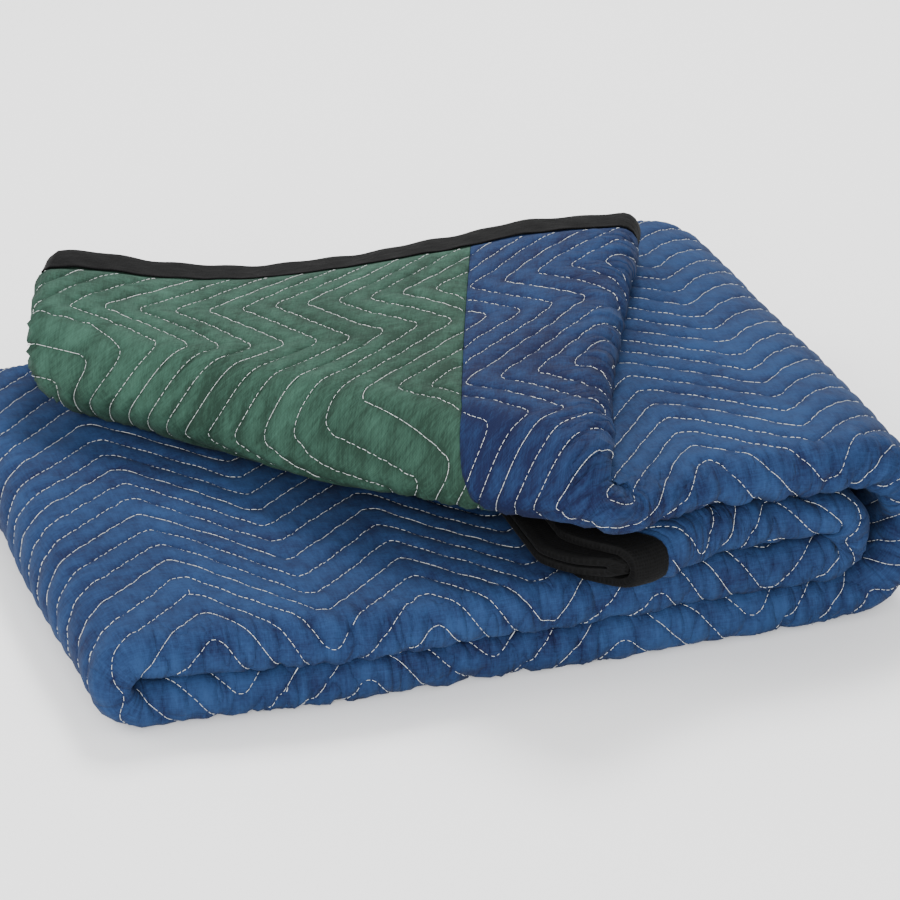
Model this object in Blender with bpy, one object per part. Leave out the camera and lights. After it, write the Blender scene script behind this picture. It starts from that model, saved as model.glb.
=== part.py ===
"""Quilted moving blanket, folded for storage.

The blanket is folded in four across its width, which makes a strip of four
layers. The strip then zigzags into a stack: a short inner end, a full run
back, a full run forward on the floor, and a last run over the top, whose end
is turned back over a slanting fold.

Cloth is laid out flat first. U runs along the strip, V runs across the cloth
and W is the height above its middle, positive on the outer face. The function
fold() carries a point (U, V, W) to its place in the folded stack. All lengths
are in millimetres until an object is made.
"""

import math

import bmesh
import bpy
import numpy as np
from mathutils import Vector
from mathutils.geometry import delaunay_2d_cdt

MM = 0.001

# ---- The blanket, laid out flat ----
CLOTH_WIDTH = 1778.0
CLOTH_LENGTH = 2062.0
PANEL_COUNT = 3
SHEET_HALF = 3.5
HEM_HALF = 1.9
SEAM_GAP = 0.3

# ---- Quilting: rows of zigzag stitching along U, one pitch apart in V ----
STITCH_PITCH = 25.4
STITCH_OFFSET = 17.0
ZIGZAG_RISE = 80.0
PUFF = 2.2
PUFF_LINES = 2
UNDER_SLANT = 22.0
UNDER_FLAP = 13.0
RIDGE_REACH = 18.0
# The feed of the cloth was uneven, so the zigzags are counted from a table.
ZIGZAG_U = (0.0, 798.0, 1301.0, CLOTH_LENGTH)
ZIGZAG_COUNT = (-4.405, 0.646, 3.364, 8.037)
DRIFT_U = (250.0, 746.0)
DRIFT_V = (94.0, 0.0)

# ---- Binding: a tape folded over every edge ----
BINDING_WIDTH = 26.0
BINDING_TAPE = 1.0
BINDING_GAP = 0.6
HEM_RAMP = 4.0
HEM_EDGE = BINDING_WIDTH + HEM_RAMP + 2.0

# ---- The strip: four layers of cloth, one layer pitch apart ----
LAYER_PITCH = 8.2
OUTER_RADIUS = 1.5 * LAYER_PITCH
INNER_RADIUS = 0.5 * LAYER_PITCH
STRIP_HALF = OUTER_RADIUS + SHEET_HALF
FLAT_RUN = (CLOTH_WIDTH - math.pi * (OUTER_RADIUS + 2 * INNER_RADIUS)) / 4
FRONT_Y = -172.0

# ---- The stack: heights of the strip's middle in each run ----
FLOOR_RUN_Z = STRIP_HALF
SECOND_RUN_Z = FLOOR_RUN_Z + 2 * STRIP_HALF + 1.8
INNER_RUN_Z = SECOND_RUN_Z + 2 * STRIP_HALF + 2 * PUFF + 1.6
TOP_RUN_Z = INNER_RUN_Z + 2 * STRIP_HALF + 1.8
TOP_RUN_LOW_Z = SECOND_RUN_Z + 2 * STRIP_HALF + PUFF + 1.2

INNER_END_X = 24.0
INNER_END_SLANT = 24.0
INNER_END_FADE = 160.0
INNER_TURN_X = 215.0
LEFT_TURN_X = -281.0
RIGHT_TURN_X = 222.0

INNER_TURN_R = (INNER_RUN_Z - SECOND_RUN_Z) / 2
LEFT_TURN_R = (SECOND_RUN_Z - FLOOR_RUN_Z) / 2
RIGHT_TURN_R = (TOP_RUN_Z - FLOOR_RUN_Z) / 2

# ---- The slanting fold at the end of the top run ----
SLANT_X = 58.0
SLANT_ANGLE = math.radians(123.0)
SLANT_R = STRIP_HALF + PUFF + 0.8

# ---- Left of the inner end the top run drops on to the second run ----
DROP_LEFT_X = -216.0
DROP_RIGHT_X = 22.0

# ---- How the soft stack sits, straight between a few depths ----
STACK_CENTRE = (-16.5, 34.6)
SETTLE_DEPTHS = (0.0, 1 / 3, 2 / 3, 1.0)
RIGHT_BULGE = (3.0, 12.0, 14.0, 18.0)
LEFT_SHIFT = (20.0, 5.0, 1.0, -27.0)
BACK_SAG = 0.14
BACK_DENT = 22.0
SAG_X = 10.0
SAG_REACH = 220.0
LEFT_FRONT_PULL = 24.0
RIGHT_BACK_PULL = 26.0
RIGHT_BACK_SAG = 0.05
TOP_SKEW = 0.235
TOP_SKEW_X = 150.0

# ---- How finely the lines on the flat cloth are spaced ----
TURN_STEPS = {"inner_turn": 6, "left_turn": 6, "right_turn": 7}
SLANT_STEPS = 8
RUN_STEPS = 3
TOP_ROW_SPLIT = 3
COLUMN_STEP = 86.0
LINE_MERGE = 0.4


def smooth(low, high, value):
    """Go softly from 0 at low to 1 at high."""
    t = np.clip((value - low) / (high - low), 0.0, 1.0)
    return t * t * (3.0 - 2.0 * t)


# ---------------------------------------------------------------- the strip

def layer_table():
    """The runs and bends of the cloth across the strip, in order along V.

    Each row has a kind, a length, the y where it starts and its height (for
    a bend, the height of its centre), a direction (for a run) or a radius.
    """
    back = FRONT_Y + FLAT_RUN
    bend = math.pi * INNER_RADIUS
    return (
        # kind, length, y, height, direction or radius
        ("run", FLAT_RUN, back, OUTER_RADIUS, -1),
        ("front", math.pi * OUTER_RADIUS, FRONT_Y, 0.0, OUTER_RADIUS),
        ("run", FLAT_RUN, FRONT_Y, -OUTER_RADIUS, 1),
        ("back", bend, back, -2 * INNER_RADIUS, INNER_RADIUS),
        ("run", FLAT_RUN, back, -INNER_RADIUS, -1),
        ("inner", bend, FRONT_Y, 0.0, INNER_RADIUS),
        ("run", FLAT_RUN, FRONT_Y, INNER_RADIUS, 1),
    )


LAYERS = layer_table()
LAYER_STARTS = np.concatenate(([0.0], np.cumsum([row[1] for row in LAYERS])))


def across(v, w):
    """Place cloth points across the strip: y, and height above its middle."""
    y = np.zeros_like(v)
    height = np.zeros_like(v)
    place = np.clip(np.searchsorted(LAYER_STARTS, v, side="right") - 1, 0, len(LAYERS) - 1)
    for index, (kind, length, start_y, start_h, extra) in enumerate(LAYERS):
        here = place == index
        along = v[here] - LAYER_STARTS[index]
        if kind == "run":
            y[here] = start_y + extra * along
            height[here] = start_h - extra * w[here]
        elif kind == "front":
            angle = along / extra
            y[here] = start_y - (extra + w[here]) * np.sin(angle)
            height[here] = (extra + w[here]) * np.cos(angle)
        elif kind == "back":
            angle = along / extra
            y[here] = start_y + (extra + w[here]) * np.sin(angle)
            height[here] = start_h - (extra + w[here]) * np.cos(angle)
        else:
            angle = along / extra
            y[here] = start_y - (extra - w[here]) * np.sin(angle)
            height[here] = start_h - (extra - w[here]) * np.cos(angle)
    return y, height


# ---------------------------------------------------------------- the stack

def run_table():
    """The runs and turns of the strip, in order along U."""
    return (
        # name, length
        ("inner_run", INNER_TURN_X - INNER_END_X),
        ("inner_turn", math.pi * INNER_TURN_R),
        ("second_run", INNER_TURN_X - LEFT_TURN_X),
        ("left_turn", math.pi * LEFT_TURN_R),
        ("floor_run", RIGHT_TURN_X - LEFT_TURN_X),
        ("right_turn", math.pi * RIGHT_TURN_R),
    )


RUNS = run_table()
RUN_NAMES = [row[0] for row in RUNS] + ["top_run"]
RUN_EDGES = np.concatenate(([0.0], np.cumsum([row[1] for row in RUNS])))
RUN_START = dict(zip(RUN_NAMES, RUN_EDGES))
TOP_ROWS_START = RUN_START["top_run"] + 80.0
RIDGE_V = FLAT_RUN + math.pi * OUTER_RADIUS / 2

SLANT_LINE = np.array([math.cos(SLANT_ANGLE), math.sin(SLANT_ANGLE)])
SLANT_NORMAL = np.array([-SLANT_LINE[1], SLANT_LINE[0]])
CREASE = np.array([-math.cos(2 * SLANT_ANGLE), -math.sin(2 * SLANT_ANGLE)])


def slant_distance(u, y):
    """How far a point of the flat top run lies past the slanting fold."""
    x = RIGHT_TURN_X - (u - RUN_START["top_run"])
    return (x - SLANT_X) * SLANT_NORMAL[0] + (y - FRONT_Y) * SLANT_NORMAL[1]


def slant_u(distance, y):
    """The U at which a strip line at y is this far past the slanting fold."""
    x = SLANT_X + (distance - (y - FRONT_Y) * SLANT_NORMAL[1]) / SLANT_NORMAL[0]
    return RUN_START["top_run"] + RIGHT_TURN_X - x


def turn_back(u, y, height):
    """Place points of the top run, and of the end turned back over it."""
    x = RIGHT_TURN_X - (u - RUN_START["top_run"])
    distance = slant_distance(u, y)
    slide = (x - SLANT_X) * SLANT_LINE[0] + (y - FRONT_Y) * SLANT_LINE[1]
    half_turn = math.pi * SLANT_R
    angle = np.clip(distance / SLANT_R, 0.0, math.pi)
    radius = SLANT_R - height
    reach = np.where(distance < 0, distance, radius * np.sin(angle))
    reach = np.where(distance > half_turn, half_turn - distance, reach)
    rise = np.where(distance < 0, height, SLANT_R - radius * np.cos(angle))
    rise = np.where(distance > half_turn, 2 * SLANT_R - height, rise)
    px = SLANT_X + reach * SLANT_NORMAL[0] + slide * SLANT_LINE[0]
    py = FRONT_Y + reach * SLANT_NORMAL[1] + slide * SLANT_LINE[1]
    step = smooth(DROP_LEFT_X, DROP_RIGHT_X, px)
    pz = TOP_RUN_LOW_Z + (TOP_RUN_Z - TOP_RUN_LOW_Z) * step + rise
    skew = TOP_SKEW * np.maximum(0.0, TOP_SKEW_X - px) * smooth(TOP_SKEW_X, 60.0, px)
    return px, py - skew, pz


def along(u, y, height):
    """Carry the strip through its runs and turns."""
    x = np.zeros_like(u)
    py = y.copy()
    z = np.zeros_like(u)
    place = np.clip(np.searchsorted(RUN_EDGES, u, side="right") - 1, 0, len(RUN_NAMES) - 1)
    for index, name in enumerate(RUN_NAMES):
        here = place == index
        if not here.any():
            continue
        part = u[here] - RUN_START[name]
        lift = height[here]
        if name == "inner_run":
            recede = smooth(FRONT_Y + 30.0, FRONT_Y - STRIP_HALF, y[here])
            recede = recede * smooth(INNER_END_FADE, 0.0, part)
            x[here] = INNER_END_X + part + INNER_END_SLANT * recede
            z[here] = INNER_RUN_Z - lift
        elif name == "inner_turn":
            angle = part / INNER_TURN_R
            x[here] = INNER_TURN_X + (INNER_TURN_R - lift) * np.sin(angle)
            z[here] = (INNER_RUN_Z + SECOND_RUN_Z) / 2 + (INNER_TURN_R - lift) * np.cos(angle)
        elif name == "second_run":
            x[here] = INNER_TURN_X - part
            z[here] = SECOND_RUN_Z + lift
        elif name == "left_turn":
            angle = part / LEFT_TURN_R
            x[here] = LEFT_TURN_X - (LEFT_TURN_R + lift) * np.sin(angle)
            z[here] = (FLOOR_RUN_Z + SECOND_RUN_Z) / 2 + (LEFT_TURN_R + lift) * np.cos(angle)
        elif name == "floor_run":
            x[here] = LEFT_TURN_X + part
            z[here] = FLOOR_RUN_Z - lift
        elif name == "right_turn":
            angle = part / RIGHT_TURN_R
            x[here] = RIGHT_TURN_X + (RIGHT_TURN_R + lift) * np.sin(angle)
            z[here] = (FLOOR_RUN_Z + TOP_RUN_Z) / 2 - (RIGHT_TURN_R + lift) * np.cos(angle)
        else:
            x[here], py[here], z[here] = turn_back(u[here], y[here], lift)
    return x, py, z


def settle(x, y, z):
    """Let the stack sit unevenly, as soft cloth does, on a flat floor."""
    depth = np.clip((y - FRONT_Y) / FLAT_RUN, 0.0, 1.0)
    left_front = smooth(60.0, 330.0, -x) * smooth(-100.0, 180.0, -y)
    left = smooth(0.0, 300.0, -x)
    right = smooth(0.0, 260.0, x)
    sag = smooth(SAG_REACH, 0.0, np.abs(x - SAG_X)) * depth
    bulge = right * np.interp(depth, SETTLE_DEPTHS, RIGHT_BULGE)
    shift = left * np.interp(depth, SETTLE_DEPTHS, LEFT_SHIFT)
    pull = LEFT_FRONT_PULL * left_front - RIGHT_BACK_PULL * right * depth - BACK_DENT * sag
    z = np.maximum(z, 0.0) * (1.0 - RIGHT_BACK_SAG * right * depth - BACK_SAG * sag)
    return x + bulge + shift - STACK_CENTRE[0], y + pull - STACK_CENTRE[1], z


def fold(u, v, w):
    """Carry flat cloth points to the folded stack."""
    u, v, w = (np.asarray(item, float) for item in np.broadcast_arrays(u, v, w))
    y, height = across(v, w)
    return np.stack(settle(*along(u, y, height)), axis=-1)


# ------------------------------------------------------------- the quilting

def zigzag(u):
    """How far the stitching has wandered in V at this U."""
    count = np.interp(u, ZIGZAG_U, ZIGZAG_COUNT)
    rise = ZIGZAG_RISE * (1.0 - np.abs(1.0 - 2.0 * np.mod(count, 1.0)))
    return STITCH_OFFSET + rise + np.interp(u, DRIFT_U, DRIFT_V)


def zigzag_corners():
    """U of each corner of the zigzag, and of the middle of each leg."""
    first = math.ceil(ZIGZAG_COUNT[0] * 4)
    last = math.floor(ZIGZAG_COUNT[-1] * 4)
    return [float(np.interp(k / 4, ZIGZAG_COUNT, ZIGZAG_U)) for k in range(first, last + 1)]


def shows(u, v):
    """1 where the outer face can be seen, so where its quilting is raised."""
    start = RUN_START
    y, _ = across(v, np.zeros_like(v))
    x_second = INNER_TURN_X - (u - start["second_run"])
    x_top = RIGHT_TURN_X - (u - start["top_run"])
    depth = y - FRONT_Y
    second = (u > start["second_run"]) & (u < start["left_turn"])
    second &= (x_second - SLANT_X) * SLANT_NORMAL[0] + depth * SLANT_NORMAL[1] > UNDER_SLANT
    turns = (u >= start["left_turn"]) & (u < start["floor_run"])
    turns |= (u >= start["right_turn"]) & (u < start["top_run"])
    on_top = (u > start["top_run"])
    on_top &= (x_top - SLANT_X) * CREASE[1] - depth * CREASE[0] > -UNDER_FLAP
    on_flap = (u > start["top_run"]) & (slant_distance(u, y) > UNDER_FLAP)
    on_flap &= (v > RIDGE_V) & (v < LAYER_STARTS[3] + HEM_RAMP)
    seen = ((v < RIDGE_V) & (second | turns | on_top)) | on_flap
    seen &= (v > HEM_EDGE) & (u < CLOTH_LENGTH - HEM_EDGE)
    ridge = smooth(RIDGE_REACH, RIDGE_REACH / 2, np.abs(v - RIDGE_V))
    ridge = ridge * (u > HEM_EDGE) * (u < CLOTH_LENGTH - HEM_EDGE)
    return np.maximum(np.where(seen, 1.0, 0.0), ridge)


def puff(u, v):
    """Height of the filling between two rows of stitching."""
    phase = np.mod((v - zigzag(u)) / STITCH_PITCH, 1.0)
    return PUFF * np.abs(np.sin(math.pi * phase)) ** 0.8 * shows(u, v)


def half_thickness(u, v):
    """The cloth is pressed thin under its binding."""
    edge = np.minimum(np.minimum(u, CLOTH_LENGTH - u), np.minimum(v, CLOTH_WIDTH - v))
    ramp = np.clip((edge - BINDING_WIDTH - 1.0) / HEM_RAMP, 0.0, 1.0)
    return HEM_HALF + (SHEET_HALF - HEM_HALF) * ramp


# -------------------------------------------------- lines on the flat cloth

def hem_lines(length):
    """Where the cloth starts to thin towards its two bound edges."""
    inner = BINDING_WIDTH + 1.0
    outer = inner + HEM_RAMP
    return [inner, outer, length - inner, length - outer]


def without_doubles(values, low, high):
    """Sorted values within low to high, at least half a millimetre apart."""
    kept = [low]
    for value in sorted(values):
        if value - kept[-1] > 0.5 and high - value > 0.5:
            kept.append(value)
    return kept + [high]


def bend_rows(low, high):
    """V of the lines that the bends across the strip need."""
    steps = {"run": RUN_STEPS, "front": 5, "back": 3, "inner": 3}
    rows = hem_lines(CLOTH_WIDTH)
    for (kind, length, _, _, _), start in zip(LAYERS, LAYER_STARTS):
        rows += [start + length * k / steps[kind] for k in range(steps[kind] + 1)]
    return without_doubles(rows, low, high)


def run_columns(start, length, first_x, direction):
    """U where a run crosses the columns that all runs share, one step apart in X."""
    last_x = first_x + direction * length
    low, high = sorted((first_x, last_x))
    steps = range(math.ceil(low / COLUMN_STEP), math.floor(high / COLUMN_STEP) + 1)
    return [start, start + length] + [start + abs(k * COLUMN_STEP - first_x) for k in steps]


def turn_columns(low=0.0, high=CLOTH_LENGTH):
    """U of the straight lines that the runs and turns of the strip need."""
    columns = hem_lines(CLOTH_LENGTH)
    first_x = {"inner_run": INNER_END_X, "second_run": INNER_TURN_X, "floor_run": LEFT_TURN_X}
    direction = {"inner_run": 1, "second_run": -1, "floor_run": 1}
    for name, length in RUNS:
        start = RUN_START[name]
        if name in TURN_STEPS:
            count = TURN_STEPS[name]
            columns += [start + length * k / count for k in range(count + 1)]
        else:
            columns += run_columns(start, length, first_x[name], direction[name])
    top = RUN_START["top_run"]
    columns += run_columns(top, CLOTH_LENGTH - top, RIGHT_TURN_X, -1)
    return without_doubles(columns, low, high)


def top_rows(low, high):
    """V of the extra lines on the top run, which lies on a slope."""
    rows = []
    for (kind, length, _, _, _), start in zip(LAYERS, LAYER_STARTS):
        if kind == "run":
            count = RUN_STEPS * TOP_ROW_SPLIT
            rows += [start + length * k / count for k in range(count) if k % TOP_ROW_SPLIT]
    return [row for row in rows if low + 5.0 < row < high - 5.0]


def slant_distances():
    """Distances of the lines that the slanting fold needs."""
    return [math.pi * SLANT_R * k / SLANT_STEPS for k in range(SLANT_STEPS + 1)]


def slant_line(distance, rows):
    """One line of the slanting fold on the flat cloth."""
    rows = np.array(rows)
    y, _ = across(rows, np.zeros_like(rows))
    columns = slant_u(distance, y)
    inside = (columns > RUN_START["top_run"] + 1.0) & (columns < CLOTH_LENGTH - 1.0)
    return [(u, v) for u, v, keep in zip(columns, rows, inside) if keep]


def quilt_lines(low, high):
    """Rows of stitching and the crests between them, where they show."""
    columns = sorted(zigzag_corners() + turn_columns())
    columns = np.array(without_doubles(columns, 0.0, CLOTH_LENGTH))
    spacing = STITCH_PITCH / PUFF_LINES
    reach = STITCH_OFFSET + ZIGZAG_RISE + DRIFT_V[0]
    first = int((low - reach) / spacing) - 1
    last = int(high / spacing) + 1
    pieces = []
    low_v = max(low + SEAM_GAP, HEM_EDGE)
    high_v = high - SEAM_GAP
    for row in range(first, last + 1):
        v = row * spacing + zigzag(columns)
        for k in range(len(columns) - 1):
            middle = np.array([[columns[k] + columns[k + 1]], [v[k] + v[k + 1]]]) / 2
            inside = low_v < min(v[k], v[k + 1]) and max(v[k], v[k + 1]) < high_v
            inside = inside and columns[k + 1] < CLOTH_LENGTH - HEM_EDGE
            if inside and shows(middle[0], middle[1])[0] > 0.5:
                pieces.append([(columns[k], v[k]), (columns[k + 1], v[k + 1])])
    return pieces


def cut_flat(low, high, quilted):
    """Cut a panel's flat outline into triangles along its lines."""
    rows = bend_rows(low, high)
    columns = turn_columns()
    lines = [[(0.0, row), (CLOTH_LENGTH, row)] for row in rows]
    lines += [[(column, low), (column, high)] for column in columns]
    lines += [slant_line(distance, rows) for distance in slant_distances()]
    lines += [[(TOP_ROWS_START, row), (CLOTH_LENGTH, row)] for row in top_rows(low, high)]
    if quilted:
        lines += quilt_lines(low, high)
    points = []
    edges = []
    for line in lines:
        first = len(points)
        points += [Vector(point) for point in line]
        edges += [(first + k, first + k + 1) for k in range(len(line) - 1)]
    found, _, faces, _, _, _ = delaunay_2d_cdt(points, edges, [], 0, LINE_MERGE)
    return np.array([tuple(point) for point in found]), [tuple(face) for face in faces]


def outline(points, low, high):
    """Order the points on a panel's four sides, once round."""
    u, v = points[:, 0], points[:, 1]
    width = high - low
    near = 0.01
    turn = np.full(len(points), -1.0)
    turn = np.where(v < low + near, u, turn)
    turn = np.where(u > CLOTH_LENGTH - near, CLOTH_LENGTH + v - low, turn)
    turn = np.where(v > high - near, 2 * CLOTH_LENGTH + width - u, turn)
    turn = np.where((u < near) & (v > low + near), 2 * CLOTH_LENGTH + width + high - v, turn)
    ring = [index for index in range(len(points)) if turn[index] >= 0.0]
    ring.sort(key=lambda index: turn[index])
    return ring, turn


def zip_rings(ring_a, turn_a, ring_b, turn_b, half, whole):
    """Join two rings of points, each in order round, with triangles.

    Where both rings have a point, the diagonal always runs the same way along
    the cloth, so that walls which face each other have the same shape.
    """
    faces = []
    i = j = 0
    while i < len(ring_a) or j < len(ring_b):
        next_a = turn_a[ring_a[i + 1]] if i + 1 < len(ring_a) else whole
        next_b = turn_b[ring_b[j + 1]] if j + 1 < len(ring_b) else whole
        a = ("a", ring_a[i % len(ring_a)])
        b = ("b", ring_b[j % len(ring_b)])
        lead = 0.2 if min(next_a, next_b) <= half + 0.2 else -0.2
        if j >= len(ring_b) or (i < len(ring_a) and next_a <= next_b + lead):
            faces.append((a, ("a", ring_a[(i + 1) % len(ring_a)]), b))
            i += 1
        else:
            faces.append((a, ("b", ring_b[(j + 1) % len(ring_b)]), b))
            j += 1
    return faces


# ---------------------------------------------------------------- the pieces

def make_object(name, corners, faces, material, collection):
    """Turn points in millimetres and faces into an object in metres."""
    mesh = bpy.data.meshes.new(name)
    mesh.from_pydata([tuple(point) for point in corners * MM], [], faces)
    work = bmesh.new()
    work.from_mesh(mesh)
    bmesh.ops.recalc_face_normals(work, faces=work.faces)
    work.to_mesh(mesh)
    work.free()
    mesh.shade_smooth()
    mesh.set_sharp_from_angle(angle=math.radians(50.0))
    mesh.materials.append(material)
    item = bpy.data.objects.new(name, mesh)
    collection.objects.link(item)
    return item


def make_panel(name, low, high, material, collection):
    """One quilted panel: a puffed outer face, a plain inner one, and edges."""
    outer_flat, outer_faces = cut_flat(low, high, quilted=True)
    inner_flat, inner_faces = cut_flat(low, high, quilted=False)
    half_out = half_thickness(outer_flat[:, 0], outer_flat[:, 1])
    half_in = half_thickness(inner_flat[:, 0], inner_flat[:, 1])
    raised = half_out + puff(outer_flat[:, 0], outer_flat[:, 1])
    outer = fold(outer_flat[:, 0], outer_flat[:, 1], raised)
    inner = fold(inner_flat[:, 0], inner_flat[:, 1], -half_in)
    count = len(outer)
    faces = list(outer_faces)
    faces += [tuple(reversed([index + count for index in face])) for face in inner_faces]
    ring_a, turn_a = outline(outer_flat, low, high)
    ring_b, turn_b = outline(inner_flat, low, high)
    half = CLOTH_LENGTH + high - low
    for face in zip_rings(ring_a, turn_a, ring_b, turn_b, half, 2 * half):
        faces.append(tuple(index if side == "a" else index + count for side, index in face))
    return make_object(name, np.concatenate((outer, inner)), faces, material, collection)


def binding_section():
    """The folded tape round an edge: inward distance and height, in order."""
    inside = HEM_HALF + BINDING_GAP
    outside = inside + BINDING_TAPE
    tip = BINDING_GAP + BINDING_TAPE
    return (
        (BINDING_WIDTH, outside),
        (-tip, outside),
        (-tip, -outside),
        (BINDING_WIDTH, -outside),
        (BINDING_WIDTH, -inside),
        (-BINDING_GAP, -inside),
        (-BINDING_GAP, inside),
        (BINDING_WIDTH, inside),
    )


def sweep_binding(name, rings, material, collection):
    """Join the tape's sections and close its two ends."""
    section = binding_section()
    size = len(section)
    faces = []
    for k in range(len(rings) - 1):
        for n in range(size):
            near = k * size + n
            beside = k * size + (n + 1) % size
            if section[n][1] >= section[(n + 1) % size][1]:
                faces.append((near, beside, near + size))
                faces.append((beside, beside + size, near + size))
            else:
                faces.append((near, beside, beside + size))
                faces.append((near, beside + size, near + size))
    last = (len(rings) - 1) * size
    for first in (0, last):
        for a, b, c, d in ((0, 1, 6, 7), (1, 2, 5, 6), (2, 3, 4, 5)):
            faces.append((first + a, first + b, first + c, first + d))
    return make_object(name, np.concatenate(rings), faces, material, collection)


def side_binding(name, edge, inward, material, collection):
    """The tape along one long side of the cloth."""
    low = BINDING_WIDTH + BINDING_GAP
    high = CLOTH_LENGTH - BINDING_WIDTH - BINDING_GAP
    reach, height = np.array(binding_section()).T
    v = edge + inward * reach
    y, _ = across(v, np.zeros_like(v))
    slants = [slant_u(distance, y) for distance in slant_distances()]
    lines = [np.full(len(v), u) for u in turn_columns(low, high)]
    lines = [u for u in lines if u[0] < slants[0].min() - 1.0 or u[0] > slants[-1].max() + 1.0]
    lines += [u for u in slants if u.max() < high - 1.0]
    lines.sort(key=lambda u: u[0])
    rings = [fold(u, v, height) for u in lines]
    return sweep_binding(name, rings, material, collection)


def end_binding(name, edge, inward, material, collection):
    """The tape across one end of the cloth, through all its layers."""
    tip = BINDING_GAP + BINDING_TAPE
    rows = bend_rows(0.0, CLOTH_WIDTH)
    rows += [CLOTH_WIDTH * k / PANEL_COUNT for k in range(1, PANEL_COUNT)]
    rows += top_rows(0.0, CLOTH_WIDTH) if edge > 0.0 else []
    rows = [-tip] + sorted(rows)[1:-1] + [CLOTH_WIDTH + tip]
    reach, height = np.array(binding_section()).T
    rings = [fold(edge + inward * reach, np.full(len(reach), v), height) for v in rows]
    return sweep_binding(name, rings, material, collection)


def make_material(name, colour, roughness):
    """A plain matt cloth finish."""
    material = bpy.data.materials.new(name)
    material.use_nodes = True
    shader = material.node_tree.nodes["Principled BSDF"]
    shader.inputs["Base Color"].default_value = (*colour, 1.0)
    shader.inputs["Roughness"].default_value = roughness
    shader.inputs["Metallic"].default_value = 0.0
    return material


def clear_scene():
    """Remove whatever objects the file opened with."""
    for item in list(bpy.data.objects):
        bpy.data.objects.remove(item)


def main():
    clear_scene()
    collection = bpy.data.collections.new("moving_blanket")
    bpy.context.scene.collection.children.link(collection)
    blue = make_material("blue_quilting", (0.045, 0.095, 0.22), 0.8)
    green = make_material("green_quilting", (0.085, 0.17, 0.125), 0.8)
    black = make_material("black_binding", (0.02, 0.02, 0.022), 0.85)
    panels = (
        # name, material
        ("panel_blue_outer", blue),
        ("panel_green", green),
        ("panel_blue_inner", blue),
    )
    width = CLOTH_WIDTH / PANEL_COUNT
    for index, (name, material) in enumerate(panels):
        low = index * width + (SEAM_GAP / 2 if index > 0 else 0.0)
        high = (index + 1) * width - (SEAM_GAP / 2 if index < PANEL_COUNT - 1 else 0.0)
        make_panel(name, low, high, material, collection)
    end_binding("binding_flap_end", CLOTH_LENGTH, -1, black, collection)
    end_binding("binding_inner_end", 0.0, 1, black, collection)
    side_binding("binding_first_side", 0.0, 1, black, collection)
    side_binding("binding_last_side", CLOTH_WIDTH, -1, black, collection)


main()
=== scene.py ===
"""Looks of the folded moving blanket.

The cloth is laid out flat first, in millimetres: U runs along the folded
strip, V runs across the cloth, and W is the height above its middle. fold()
carries a point (U, V, W) to its place in the stack, with the same sizes as
the solids that the pieces here stand for.
"""

import math

import bpy
import numpy as np
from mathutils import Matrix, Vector


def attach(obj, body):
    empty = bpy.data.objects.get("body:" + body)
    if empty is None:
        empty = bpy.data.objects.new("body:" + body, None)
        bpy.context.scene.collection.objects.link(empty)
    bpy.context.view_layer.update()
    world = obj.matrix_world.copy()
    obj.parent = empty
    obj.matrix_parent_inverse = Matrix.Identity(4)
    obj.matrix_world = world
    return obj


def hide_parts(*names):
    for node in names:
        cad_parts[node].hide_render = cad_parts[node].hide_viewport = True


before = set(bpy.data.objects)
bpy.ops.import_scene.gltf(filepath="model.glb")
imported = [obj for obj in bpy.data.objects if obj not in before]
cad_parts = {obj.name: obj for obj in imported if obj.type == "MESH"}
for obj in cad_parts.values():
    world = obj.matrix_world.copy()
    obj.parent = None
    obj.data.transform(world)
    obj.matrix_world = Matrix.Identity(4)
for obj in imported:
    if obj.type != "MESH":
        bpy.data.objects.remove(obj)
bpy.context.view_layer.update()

MM = 0.001

# ---- The blanket, laid out flat ----
CLOTH_WIDTH = 1778.0
CLOTH_LENGTH = 2062.0
PANEL_COUNT = 3
PANEL_WIDTH = CLOTH_WIDTH / PANEL_COUNT
SHEET_HALF = 3.5
HEM_HALF = 1.9
SEAM_GAP = 0.3
SEAM_DIP = 1.6
SEAM_REACH = 7.0

# ---- Quilting ----
STITCH_PITCH = 25.4
STITCH_OFFSET = 17.0
ZIGZAG_RISE = 80.0
# How many zigzags the rows have made by each U, and how far they drift in V.
ZIGZAG_U = (0.0, 798.0, 1301.0, CLOTH_LENGTH)
ZIGZAG_COUNT = (-4.405, 0.646, 3.364, 8.037)
DRIFT_U = (250.0, 746.0)
DRIFT_V = (94.0, 0.0)
CORNER_ROUND = 6.0
PUFF = 2.2
PUFF_SHAPE = 0.55
# Waves in the rows, as fed by hand: height, and length along U and along V.
WANDER = ((0.9, 31.0, 47.0), (0.6, 11.3, -29.0))
# On the turned-back end the soft cloth has crept: how far from its bound end
# each corner of the quilting lies, at five places across the cloth.
FLAP_V = (460.0, 550.0, 650.0, 750.0, 860.0)
FLAP_CORNERS = (
    # distance in the flat cloth, distance as it lies at FLAP_V
    (0.0, (0.0, 0.0, 0.0, 0.0, 0.0)),
    (87.5, (88.0, 100.0, 105.0, 95.0, 81.0)),
    (168.9, (150.0, 160.0, 174.0, 163.0, 128.0)),
    (250.3, (250.0, 273.0, 256.0, 214.0, 182.0)),
    (331.7, (333.0, 327.0, 298.0, 265.0, 242.0)),
    (413.2, (394.0, 380.0, 356.0, 328.0, 305.0)),
    (560.0, (560.0, 560.0, 560.0, 560.0, 560.0)),
)
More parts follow.
